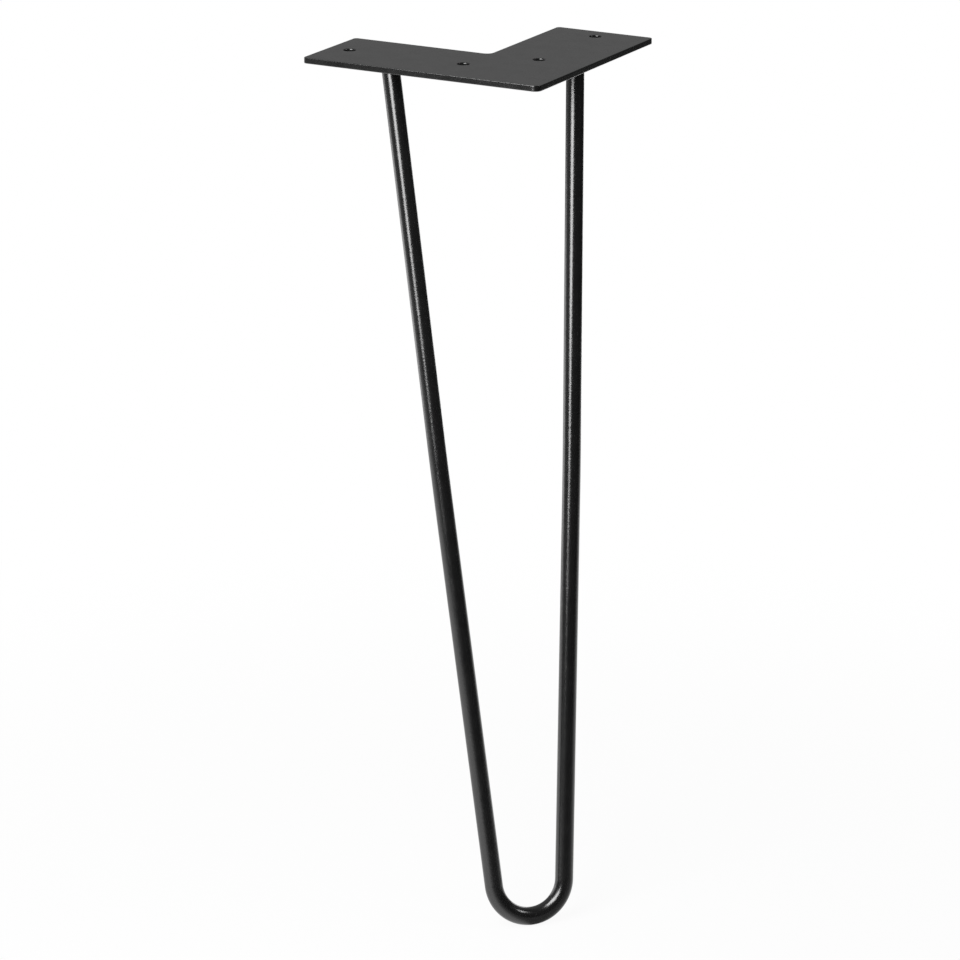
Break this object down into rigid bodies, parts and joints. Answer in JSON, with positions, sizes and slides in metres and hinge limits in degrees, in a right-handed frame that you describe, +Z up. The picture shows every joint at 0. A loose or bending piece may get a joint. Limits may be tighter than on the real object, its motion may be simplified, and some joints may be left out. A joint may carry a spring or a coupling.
{
  "type": "hairpin table leg",
  "caption": "Hairpin table leg: a round steel bar bent into a hairpin, leaning outwards, welded under a flat L-shaped mounting plate with screw holes, finished in black powder coat.",
  "frame": {"origin": "where the centrelines of the plate's two arms cross, on the plate's upper face, which meets the table top", "axes": "+Z up into the table top, +X across the hairpin from its left bar to its right bar, -Y towards the plate's outer corner and the foot"},
  "size_m": [0.1972, 0.1551, 0.4684],
  "materials": {
    "black_powder_coat": "satin black powder coat with a fine texture"
  },
  "bodies": {
    "root": {"mounting_plate": "black_powder_coat", "hairpin_rod": "black_powder_coat", "left_weld_bead": "black_powder_coat", "right_weld_bead": "black_powder_coat"}
  },
  "joints": []
}
